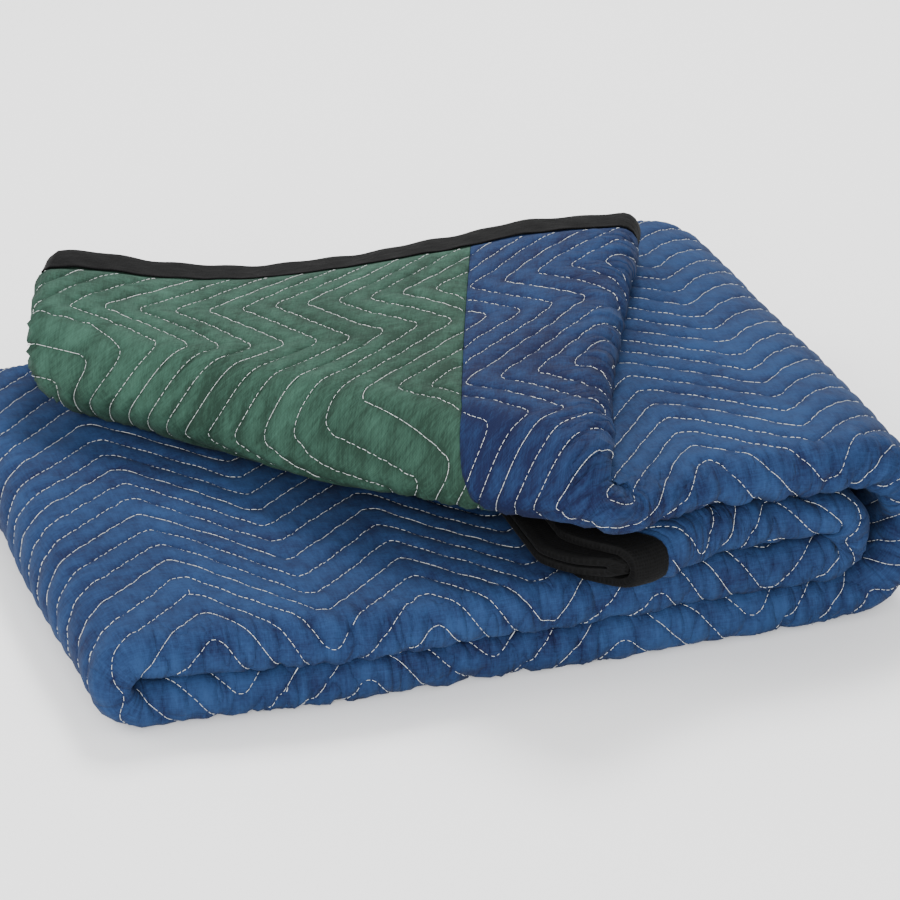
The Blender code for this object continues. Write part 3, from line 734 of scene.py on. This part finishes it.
def relief(u, v):
    """Height of the outer face's quilting, and how near its crest a point is."""
    phase = np.mod((v - zigzag(u, v) - wander(u, v)) / STITCH_PITCH, 1.0)
    crest = np.abs(np.sin(math.pi * phase)) ** PUFF_SHAPE
    height = PUFF * crest * (1.0 + LUMP_SHARE * lumps(u, v))
    height += SWELL * lumps(u * SWELL_STRETCH, v * SWELL_STRETCH)
    height = height + pucker(u, v, phase) + creases(u, v)
    seam = np.minimum(np.abs(v - panel_edge(1, u)), np.abs(v - panel_edge(2, u)))
    height -= SEAM_DIP * smooth(SEAM_REACH, 0.0, seam)
    return height * smooth(BINDING_WIDTH + HEM_MARGIN, RELIEF_EDGE, edge_distance(u, v)), crest


def painted_light_and_shade(u, v):
    """How much paler the cloth is painted: painted light on the top run, painted shade on the
    turned-back end.
    """
    low, high = TOP_PAINTED_LIGHT_V
    top = smooth(RUN_START["right_turn"] + TOP_PAINTED_LIGHT_START, RUN_START["top_run"], u)
    top *= smooth(RIDGE_V + low, RIDGE_V + high, v)
    end = on_flap(u, v)
    whole, inward = FLAP_PAINTED_SHADE
    on_end = whole + inward * smooth(*FLAP_PAINTED_SHADE_FROM_END, CLOTH_LENGTH - u)
    return TOP_PAINTED_LIGHT * top * (1.0 - end) + end * on_end


# ======== Meshes ========

def make_piece(name, points, faces, material, flat, marks=None):
    """Turn points in millimetres into a piece, with its places on the flat
    cloth as UV and its marks as values at the points."""
    mesh = bpy.data.meshes.new(name)
    mesh.from_pydata((points * MM).tolist(), [], faces)
    mesh.validate()
    mesh.shade_smooth()
    mesh.materials.append(material)
    loops = np.zeros(len(mesh.loops), int)
    mesh.loops.foreach_get("vertex_index", loops)
    layer = mesh.uv_layers.new(name="cloth")
    layer.data.foreach_set("uv", (flat[loops] * MM).astype(np.float32).ravel())
    for key, values in (marks or {}).items():
        attribute = mesh.attributes.new(key, "FLOAT", "POINT")
        attribute.data.foreach_set("value", values.astype(np.float32))
    item = bpy.data.objects.new(name, mesh)
    bpy.context.scene.collection.objects.link(item)
    return item


def zip_rings(ring_a, turn_a, ring_b, turn_b):
    """Join two rings of points, each in order round, with triangles."""
    faces = []
    i = j = 0
    while i < len(ring_a) or j < len(ring_b):
        next_a = turn_a[i + 1] if i + 1 < len(ring_a) else math.inf
        next_b = turn_b[j + 1] if j + 1 < len(ring_b) else math.inf
        a, b = ring_a[i % len(ring_a)], ring_b[j % len(ring_b)]
        if j >= len(ring_b) or (i < len(ring_a) and next_a <= next_b):
            faces.append((b, ring_a[(i + 1) % len(ring_a)], a))
            i += 1
        else:
            faces.append((b, ring_b[(j + 1) % len(ring_b)], a))
            j += 1
    return faces


def grid(columns, lines, low, high):
    """A net of columns in U and lines that give V at each column, clipped to
    the panel. Returns flat points, faces and the ring round its edge."""
    below = lines <= low[:, None] + LINE_CLEARANCE
    above = lines >= high[:, None] - LINE_CLEARANCE
    inner = ~(below | above)
    at_low = np.arange(len(columns))
    at_high = at_low + len(columns)
    index = np.where(below, at_low[:, None], at_high[:, None])
    index[inner] = 2 * len(columns) + np.arange(inner.sum())
    u = np.broadcast_to(columns[:, None], lines.shape)
    flat = np.concatenate((
        np.stack((columns, low), axis=-1),
        np.stack((columns, high), axis=-1),
        np.stack((u[inner], lines[inner]), axis=-1),
    ))
    corners = np.stack((index[:-1, :-1], index[1:, :-1], index[1:, 1:], index[:-1, 1:]), axis=-1)
    faces = []
    for face in corners.reshape(-1, 4).tolist():
        kept = [face[k] for k in range(4) if face[k] != face[k - 1]]
        if len(kept) > 2:
            faces.append(tuple(kept))
    width = (high - low).max()
    length = columns[-1]
    ends = {side: [k for k in dict.fromkeys(index[side].tolist()) if k >= 2 * len(columns)]
            for side in (0, -1)}
    ring = at_low.tolist() + ends[-1] + at_high[::-1].tolist() + ends[0][::-1]
    turn = columns.tolist() + [length + flat[k, 1] - low[-1] for k in ends[-1]]
    turn += (2 * length + width - columns[::-1]).tolist()
    turn += [2 * length + width + high[0] - flat[k, 1] for k in ends[0][::-1]]
    return flat, faces, ring, turn


def columns_for(fine_from):
    """U of the columns, close together from where the cloth shows."""
    edges = [0.0]
    while edges[-1] < CLOTH_LENGTH:
        edges.append(edges[-1] + (FINE_STEP if edges[-1] >= fine_from else COARSE_STEP))
    return np.array(edges[:-1] + [CLOTH_LENGTH])


def quilted_lines(columns, low, high):
    """V of the lines that follow the stitching, at each column."""
    first = math.floor((low.min() - ROW_REACH) / STITCH_PITCH)
    last = math.ceil(high.max() / STITCH_PITCH) + 1
    shares = np.array([k + share for k in range(first, last) for share in LINE_SHARES])
    return row_v(columns[:, None], shares[None, :])


def plain_lines(columns, low, high, step):
    """V of straight lines, with more of them where the cloth bends."""
    rows = [low.min(), high.max()]
    for (kind, length, _, _, _), start in zip(LAYERS, LAYER_STARTS):
        count = math.ceil(length / step) if kind == "run" else BEND_LINES
        rows += [start + length * k / count for k in range(count)]
    quarter = EDGE_BEND_R * math.pi / 2
    rows += [EDGE_BEND_V - quarter * k / EDGE_BEND_LINES for k in range(EDGE_BEND_LINES + 1)]
    rows = np.array(sorted({round(row, 2) for row in rows if low.min() <= row <= high.max()}))
    return np.broadcast_to(rows, (len(columns), len(rows)))


def make_panel(name, index, fine_from, material):
    """One quilted panel: a fine outer face, a plain inner face, and edges."""
    low_gap = SEAM_GAP / 2 if index > 0 else 0.0
    high_gap = SEAM_GAP / 2 if index < PANEL_COUNT - 1 else 0.0

    def net(columns, lines_for, *step):
        low = panel_edge(index, columns) + low_gap
        high = panel_edge(index + 1, columns) - high_gap
        return grid(columns, lines_for(columns, low, high, *step), low, high)

    shape = (quilted_lines,) if fine_from < CLOTH_LENGTH else (plain_lines, COARSE_STEP)
    flat_out, faces, ring_out, turn_out = net(columns_for(fine_from), *shape)
    columns_in = np.linspace(0.0, CLOTH_LENGTH, round(CLOTH_LENGTH / INNER_FACE_STEP) + 1)
    flat_in, faces_in, ring_in, turn_in = net(columns_in, plain_lines, INNER_FACE_STEP)
    u, v = flat_out.T
    height, crest = relief(u, v)
    outer = fold(u, v, half_thickness(u, v) + height)
    inner = fold(*flat_in.T, -half_thickness(*flat_in.T))
    count = len(outer)
    faces = faces + [tuple(k + count for k in reversed(face)) for face in faces_in]
    faces += zip_rings(ring_out, turn_out, [k + count for k in ring_in], turn_in)
    # The crest mark is painted light and shade: lighter on the crests and darker in the valleys,
    # with the painted light of the top run and the painted shade of the turned-back end added.
    crest = CREST_PAINTED_SHADING * crest + CREST_PAINTED_SHADING_BASE + painted_light_and_shade(u, v)
    marks = {
        "crest": np.concatenate((crest, np.full(len(inner), INNER_FACE_TONE))),
        "gather": np.concatenate((gathers(u, v), np.zeros(len(inner)))),
    }
    points = np.concatenate((outer, inner))
    return make_piece(name, points, faces, material, np.concatenate((flat_out, flat_in)), marks)


# ======== Binding ========

def tape_section():
    """The folded tape round an edge: inward distance and height, in order."""
    inside = HEM_HALF + BINDING_GAP
    outside = inside + BINDING_TAPE
    outer = [(reach, outside) for reach in TAPE_REACHES]
    inner = [(reach, inside) for reach in TAPE_REACHES]
    for k in range(1, TAPE_CORNER_POINTS + 1):
        angle = math.pi / 2 - math.pi * k / (TAPE_CORNER_POINTS + 1)
        past = math.cos(angle)
        outer.append((-(BINDING_GAP + BINDING_TAPE) * past, outside * math.sin(angle)))
        inner.append((-BINDING_GAP * past, inside * math.sin(angle)))
    outer += [(reach, -outside) for reach in reversed(TAPE_REACHES)]
    inner += [(reach, -inside) for reach in reversed(TAPE_REACHES)]
    return np.array(outer + inner[::-1])


def make_tape(name, edge, inward, runs_in_v, material):
    """A binding tape along one edge of the cloth, slightly uneven."""
    section = tape_section()
    reach, height = section.T[:, None, :]
    if runs_in_v:
        ends = (-TAPE_PAST_CLOTH, CLOTH_WIDTH + TAPE_PAST_CLOTH)
        count = round(CLOTH_WIDTH / TAPE_STEP_ENDS)
    else:
        clear = BINDING_WIDTH + BINDING_GAP
        ends = (clear, CLOTH_LENGTH - clear)
        count = round(CLOTH_LENGTH / TAPE_STEP_SIDES)
    place = np.linspace(*ends, count)[:, None]
    # The tape wanders, swells and has a groove where its seam is sewn, but
    # not where it turns over the edge.
    wave = 0.5 * np.sin(place / 19.0 + edge)
    wave += 0.4 * np.sin(place / 7.3 + 2.0 * np.sin(place / 31.0))
    flat_part = smooth(0.0, TAPE_TURN_REACH, reach)
    swell = TAPE_LIFT * np.sin(place / 5.1 + reach / 9.0) * np.sin(place / 23.0 + reach / 6.0)
    groove = TAPE_GROOVE * hump(BINDING_WIDTH - TAPE_GROOVE_IN, TAPE_GROOVE_HALF, reach)
    lift = TAPE_LIFT + swell * flat_part - groove
    height = height + np.sign(height) * lift * flat_part
    inwards = edge + inward * (reach + wave * flat_part)
    place = np.broadcast_to(place, inwards.shape)
    if not runs_in_v and edge == 0.0:
        inwards += panel_edge(0, place)
    u, v = (inwards, place) if runs_in_v else (place, inwards)
    size = len(section)
    faces = []
    for k in range(count - 1):
        for n in range(size):
            a, b = k * size + n, k * size + (n + 1) % size
            faces.append((a, b, b + size, a + size))
    for first in (0, (count - 1) * size):
        for n in range(size // 2 - 1):
            faces.append((first + n, first + n + 1, first + size - 2 - n, first + size - 1 - n))
    points = fold(u, v, height).reshape(-1, 3)
    return make_piece(name, points, faces, material, np.stack((u, v), axis=-1).reshape(-1, 2))


# ======== Thread ========

def blue_shown(u, v):
    """Leave out the rows that lie pressed inside the stack."""
    inside = (v > RIDGE_V + HIDDEN_PAST_RIDGE) & (u < FLAP_U)
    inside |= (v < RIDGE_V - HIDDEN_BEFORE_RIDGE) & (u < RUN_START["inner_turn"])
    return ~inside


def green_shown(u, v):
    """Leave out the rows that lie under the turned-back end."""
    return v < LAYER_STARTS[3] + GREEN_PAST_RUN


def stitch_rows(number, start, shown):
    """The rows of stitching on a panel, as runs of flat points that show."""
    first = math.floor((number * PANEL_WIDTH - ROW_REACH) / STITCH_PITCH) - 2
    last = math.ceil((number + 1) * PANEL_WIDTH / STITCH_PITCH) + 1
    u = np.arange(start, CLOTH_LENGTH, 1.0)
    low = panel_edge(number, u) + LINE_CLEARANCE
    high = panel_edge(number + 1, u) - LINE_CLEARANCE
    for row in range(first, last):
        v = row_v(u, float(row))
        keep = (v > low) & (v < high) & shown(u, v) & (edge_distance(u, v) > THREAD_EDGE)
        places = np.flatnonzero(keep)
        if len(places) < FEWEST_POINTS:
            continue
        for run in np.split(places, np.flatnonzero(np.diff(places) > 1) + 1):
            if len(run) > FEWEST_POINTS:
                yield row, u[run], v[run]


def add_ring(points, centre, side, up):
    """Add the four corners of a ring of thread."""
    points += [centre + side * a + up * b for a, b in RING_CORNERS]


def add_loose_end(row, place, rise, lean, points, faces, flat):
    """One end of thread that stands off the cloth."""
    u = np.array([place, place + 1.0])
    v = row_v(u, float(row))
    surface = half_thickness(u, v) + relief(u, v)[0]
    root, ahead = fold(u, v, surface)
    up = fold(u, v, surface + 1.0)[0] - root
    ahead -= root
    side = np.cross(ahead, up)
    base = len(points)
    for share in LOOSE_END_SHARES:
        lift = rise * math.sin(LOOSE_END_BEND * share) - LOOSE_END_ROOT
        centre = root + up * lift + ahead * lean * share ** 2
        add_ring(points, centre, side * THREAD_HALF_WIDTH, ahead * THREAD_HALF_WIDTH)
    flat += [(place, float(v[0]))] * (len(points) - base)
    last = len(points) - RING_SIZE
    for ring in range(base, last, RING_SIZE):
        for n in range(RING_SIZE):
            m = (n + 1) % RING_SIZE
            faces.append((ring + n, ring + m, ring + RING_SIZE + m, ring + RING_SIZE + n))
    faces.append(tuple(range(base, base + RING_SIZE))[::-1])
    faces.append(tuple(range(last, last + RING_SIZE)))


def make_thread(name, number, start, shown, material, loose_ends=()):
    """Every stitch that shows, each a short spindle sunk in at both ends."""
    points, faces, flat = [], [], []
    for row, u, v in stitch_rows(number, start, shown):
        surface = half_thickness(u, v) + relief(u, v)[0]
        surface -= THREAD_SINK * (0.5 + 0.5 * np.sin(u / 37.0 + 1.9 * row))
        path = fold(u, v, surface)
        above = fold(u, v, surface + 1.0) - path
        above /= np.linalg.norm(above, axis=1)[:, None]
        steps = np.linalg.norm(np.diff(path, axis=0), axis=1)
        lengths = np.concatenate(([0.0], np.cumsum(steps)))
        count = max(1, round(lengths[-1] / STITCH_LENGTH))
        pitch = lengths[-1] / count
        dash = DASH_SHARE if row % TIGHT_EVERY else TIGHT_SHARE
        for k in range(count):
            begin = (k + STITCH_START + STITCH_SHIFT * math.sin(row * 1.7 + k * 2.3)) * pitch
            size = pitch * dash * (1.0 + STITCH_UNEVEN * math.sin(row * 2.9 + k * 1.3))
            here = begin + size * np.array([ring[0] for ring in STITCH_RINGS])
            centre, up = (np.stack([np.interp(here, lengths, part) for part in item.T], axis=-1)
                          for item in (path, above))
            side = np.cross(centre[-1] - centre[0], up)
            side /= np.linalg.norm(side, axis=1)[:, None] + 1e-9
            base = len(points)
            for n, (_, wide) in enumerate(STITCH_RINGS):
                middle = centre[n] + up[n] * (THREAD_LIFT * (2 * wide - 1.0))
                if wide == 0.0:
                    points.append(middle)
                    continue
                add_ring(points, middle, side[n] * THREAD_HALF_WIDTH, up[n] * THREAD_HALF_HEIGHT)
            place = [float(np.interp(here[0], lengths, item)) for item in (u, v)]
            flat += [place] * (len(points) - base)
            first, second, tip = base + 1, base + 1 + RING_SIZE, len(points) - 1
            for n in range(RING_SIZE):
                m = (n + 1) % RING_SIZE
                faces.append((base, first + m, first + n))
                faces.append((first + n, first + m, second + m, second + n))
                faces.append((second + n, second + m, tip))
    for loose_end in loose_ends:
        add_loose_end(*loose_end, points, faces, flat)
    return make_piece(name, np.array(points), faces, material, np.array(flat))


# ======== Materials ========

def set_inputs(node, values):
    """Give a node's inputs fixed values, by name."""
    for key, value in values.items():
        node.inputs[key].default_value = value


def new_material(name, colour, roughness):
    material = bpy.data.materials.new(name)
    material.use_nodes = True
    shader = material.node_tree.nodes["Principled BSDF"]
    set_inputs(shader, {"Base Color": (*colour, 1.0), "Roughness": roughness})
    return material, material.node_tree, shader


def math_node(tree, operation, *values):
    """A node that works on numbers and on other nodes' outputs."""
    node = tree.nodes.new("ShaderNodeMath")
    node.operation = operation
    for socket, value in zip(node.inputs, values):
        if isinstance(value, float):
            socket.default_value = value
        else:
            tree.links.new(value, socket)
    return node.outputs[0]


def weighted(tree, parts, total=0.0):
    """A number plus outputs, each times its own weight."""
    for output, weight in parts:
        total = math_node(tree, "MULTIPLY_ADD", output, weight, total)
    return total


def cloth_place(tree):
    """Where a point lies on the flat cloth."""
    node = tree.nodes.new("ShaderNodeUVMap")
    node.uv_map = "cloth"
    return node.outputs["UV"]


def mark(tree, name):
    """A value that make_piece() stored at the points."""
    node = tree.nodes.new("ShaderNodeAttribute")
    node.attribute_name = name
    return node.outputs["Fac"]


def noise(tree, place, name):
    """One of NOISES, on cloth coordinates turned and scaled unevenly."""
    scale, detail, stretch_u, stretch_v, turn = NOISES[name]
    mapping = tree.nodes.new("ShaderNodeMapping")
    set_inputs(mapping, {"Scale": (stretch_u, stretch_v, 1.0), "Rotation": (0.0, 0.0, turn)})
    tree.links.new(place, mapping.inputs["Vector"])
    node = tree.nodes.new("ShaderNodeTexNoise")
    set_inputs(node, {"Scale": scale, "Detail": detail})
    tree.links.new(mapping.outputs["Vector"], node.inputs["Vector"])
    return node.outputs["Fac"]


def weave_height(tree, place, thread_pitch):
    """Over-and-under of two sets of threads, as a height from 0 to 1."""
    waves = []
    for direction in ("X", "Y"):
        node = tree.nodes.new("ShaderNodeTexWave")
        node.bands_direction = direction
        wave_scale = WAVE_SCALE / thread_pitch
        set_inputs(node, {"Scale": wave_scale, "Distortion": 0.6, "Detail Scale": 2.0})
        tree.links.new(place, node.inputs["Vector"])
        waves.append(node.outputs["Fac"])
    return math_node(tree, "MAXIMUM", *waves)


def wrinkle_height(tree, place, gather):
    """Short sharp wrinkles, 0 between them and down to -1 in them, where the cloth is gathered:
    a bump height, and painted shade in the colour."""
    off = math_node(tree, "SUBTRACT", noise(tree, place, "wrinkles"), 0.5)
    off = math_node(tree, "MULTIPLY", math_node(tree, "ABSOLUTE", off), WRINKLE_SPREAD)
    low = math_node(tree, "SUBTRACT", math_node(tree, "POWER", off, WRINKLE_SHARPNESS), 1.0)
    return math_node(tree, "MULTIPLY", math_node(tree, "MINIMUM", low, 0.0), gather)


def paint(tree, shader, factor, colours):
    """Mix the dark colour and the light one into the shader's base colour."""
    mix = tree.nodes.new("ShaderNodeMix")
    mix.data_type = "RGBA"
    tree.links.new(factor, mix.inputs["Factor"])
    for key, colour in zip("AB", colours):
        mix.inputs[key].default_value = (*colour, 1.0)
    tree.links.new(mix.outputs["Result"], shader.inputs["Base Color"])


def bump(tree, height, strength, distance):
    node = tree.nodes.new("ShaderNodeBump")
    set_inputs(node, {"Strength": strength, "Distance": distance})
    tree.links.new(height, node.inputs["Height"])
    return node


def cloth_material(name, colours, thread_pitch, tones, with_marks):
    """Matt woven cloth: uneven in colour, streaked, crinkled, with painted shade in its valleys
    and wrinkles and painted light on its crests.
    """
    material, tree, shader = new_material(name, colours[1], roughness=0.82)
    sheen = {"Sheen Weight": 0.012, "Sheen Roughness": 0.45}
    set_inputs(shader, {**sheen, "Specular IOR Level": 0.09})
    place = cloth_place(tree)
    fields = {key: noise(tree, place, key) for key in tones if key != "weave"}
    fields["weave"] = weave_height(tree, place, thread_pitch)
    parts = [(fields[key], weight) for key, weight in tones.items()]
    height = [(fields[key], weight) for key, weight in CRINKLE.items()]
    if with_marks:
        gather = mark(tree, "gather")
        wrinkles = wrinkle_height(tree, place, gather)
        # Painted light and shade go into the colour here: the crest mark, and painted shade in
        # the wrinkles.
        parts += [(mark(tree, "crest"), 1.0), (wrinkles, WRINKLE_PAINTED_SHADE), (gather, GATHER_TONE)]
        height.append((wrinkles, WRINKLE_HEIGHT))
    tone = weighted(tree, parts, TONE_MIDDLE - sum(tones.values()) / 2)
    paint(tree, shader, tone, colours)
    rough = weighted(tree, [(fields["streaks"], ROUGH_STREAKS)], ROUGHNESS)
    tree.links.new(rough, shader.inputs["Roughness"])
    crinkle = bump(tree, weighted(tree, height), strength=0.55, distance=0.003)
    weave = weighted(tree, [(fields["weave"], 1.0), (fields["speckle"], 1.0)])
    threads = bump(tree, weave, strength=0.35, distance=0.0003)
    tree.links.new(crinkle.outputs["Normal"], threads.inputs["Normal"])
    tree.links.new(threads.outputs["Normal"], shader.inputs["Normal"])
    return material


def thread_material():
    """Off-white polyester thread, a little dirty."""
    material, tree, shader = new_material("thread", THREAD[1], roughness=0.6)
    paint(tree, shader, noise(tree, cloth_place(tree), "soil"), THREAD)
    return material


# ======== Stage and view ========

def make_floor():
    bpy.ops.mesh.primitive_plane_add(size=FLOOR_SIZE, location=(0.0, 0.0, -FLOOR_DROP))
    floor = bpy.context.object
    floor.name = "floor"
    material, _, shader = new_material("floor", FLOOR_COLOUR, roughness=0.7)
    set_inputs(shader, {"Specular IOR Level": 0.1})
    floor.data.materials.append(material)


def add_facing(name, data, place, ahead):
    """Put a light or the camera at a place, looking ahead."""
    item = bpy.data.objects.new(name, data)
    item.location = place
    item.rotation_mode = "QUATERNION"
    item.rotation_quaternion = ahead.to_track_quat("-Z", "Y")
    bpy.context.scene.collection.objects.link(item)
    return item


def make_light(name, place, size, power):
    """A soft square light that faces the blanket."""
    light = bpy.data.lights.new(name, "AREA")
    light.size = size
    light.energy = power
    add_facing(name, light, place, Vector(LOOK_AT) - Vector(place))


def make_lights():
    for light in LIGHTS:
        make_light(*light)
    world = bpy.data.worlds.new("studio")
    world.use_nodes = True
    backdrop = world.node_tree.nodes["Background"]
    set_inputs(backdrop, {"Color": (1.0, 1.0, 1.0, 1.0), "Strength": WORLD_STRENGTH})
    bpy.context.scene.world = world


def make_camera():
    camera = bpy.data.cameras.new("camera")
    camera.lens = FOCAL_LENGTH_MM
    camera.sensor_width = SENSOR_WIDTH_MM
    level = math.cos(CAMERA_ELEVATION)
    ahead = Vector((
        math.sin(CAMERA_YAW) * level,
        math.cos(CAMERA_YAW) * level,
        -math.sin(CAMERA_ELEVATION),
    ))
    place = Vector(LOOK_AT) - CAMERA_DISTANCE * ahead
    bpy.context.scene.camera = add_facing("camera", camera, place, ahead)


# ======== Assembly ========

def main():
    make_camera()
    make_lights()
    make_floor()
    blue = cloth_material("blue_cloth", BLUE, CLOTH_THREADS, CLOTH_TONES, True)
    green = cloth_material("green_cloth", GREEN, CLOTH_THREADS, CLOTH_TONES, True)
    black = cloth_material("black_tape", BLACK, TAPE_THREADS, TAPE_TONES, False)
    thread = thread_material()

    panel_outer = make_panel("cloth_blue_outer", 0, 0.0, blue)
    panel_green = make_panel("cloth_green", 1, FLAP_U, green)
    panel_inner = make_panel("cloth_blue_inner", 2, CLOTH_LENGTH, blue)
    flap_tape = make_tape("tape_flap_end", CLOTH_LENGTH, -1, True, black)
    inner_tape = make_tape("tape_inner_end", 0.0, 1, True, black)
    first_tape = make_tape("tape_first_side", 0.0, 1, False, black)
    last_tape = make_tape("tape_last_side", CLOTH_WIDTH, -1, False, black)
    blue_thread = make_thread("stitches_blue", 0, 0.0, blue_shown, thread, LOOSE_ENDS)
    green_thread = make_thread("stitches_green", 1, FLAP_U, green_shown, thread)

    dressed = (
        # piece, node that it stands for, material slot
        (panel_outer, "panel_blue_outer", "blue_quilting"),
        (panel_green, "panel_green", "green_quilting"),
        (panel_inner, "panel_blue_inner", "blue_quilting"),
        (flap_tape, "binding_flap_end", "black_binding"),
        (inner_tape, "binding_inner_end", "black_binding"),
        (first_tape, "binding_first_side", "black_binding"),
        (last_tape, "binding_last_side", "black_binding"),
    )
    for piece, node, material_slot in dressed:
        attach(piece, "root")
        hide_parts(node)
    for piece in (blue_thread, green_thread):
        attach(piece, "root")


main()
